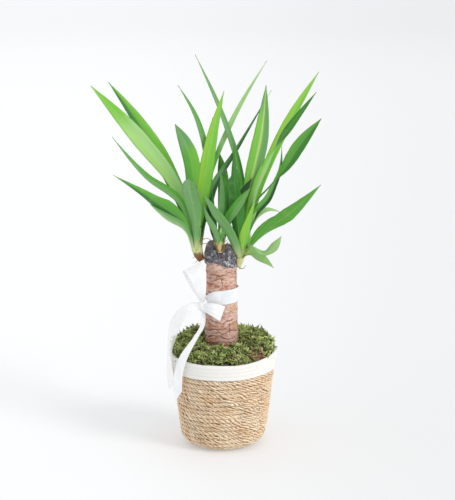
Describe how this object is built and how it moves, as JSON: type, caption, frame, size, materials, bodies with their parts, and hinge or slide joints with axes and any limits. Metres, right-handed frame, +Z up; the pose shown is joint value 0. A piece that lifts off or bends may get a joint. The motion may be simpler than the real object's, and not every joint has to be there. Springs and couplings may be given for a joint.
{
  "type": "potted yucca",
  "caption": "Potted yucca: thick bark-covered cane with sword-leaved shoots and a wax-sealed top, in a mossy coiled seagrass basket with a cream rim, tied with a satin ribbon.",
  "frame": {"origin": "centre of the basket's round base, on the surface it stands on", "axes": "+Z up, +X to the right seen from the front, -Y towards the front where the bow shows"},
  "size_m": [0.4121, 0.3287, 0.6944],
  "materials": {
    "seagrass": "coiled twisted seagrass rope, matt straw tan with brown gaps",
    "cream_fibre": "coils wrapped in matt cream fibre",
    "pot_plastic": "thin dark brown nursery plastic",
    "potting_soil": "loose dark peat",
    "moss": "dry olive green moss with lighter tips",
    "bark": "rough tan and red-brown bark with ring scars and fine cracks",
    "wax": "dark grey pruning wax, glossy and lumpy",
    "leaf": "smooth green leaf with a soft sheen, pale at the root",
    "satin": "plain white satin ribbon"
  },
  "bodies": {
    "root": {"basket": "seagrass", "basket_rim": "cream_fibre", "nursery_pot": "pot_plastic", "soil": "potting_soil", "moss": "moss", "trunk": "bark", "wax_cap": "wax", "shoot_left": "leaf", "shoot_right": "leaf", "shoot_centre": "leaf", "ribbon": "satin"}
  },
  "joints": []
}
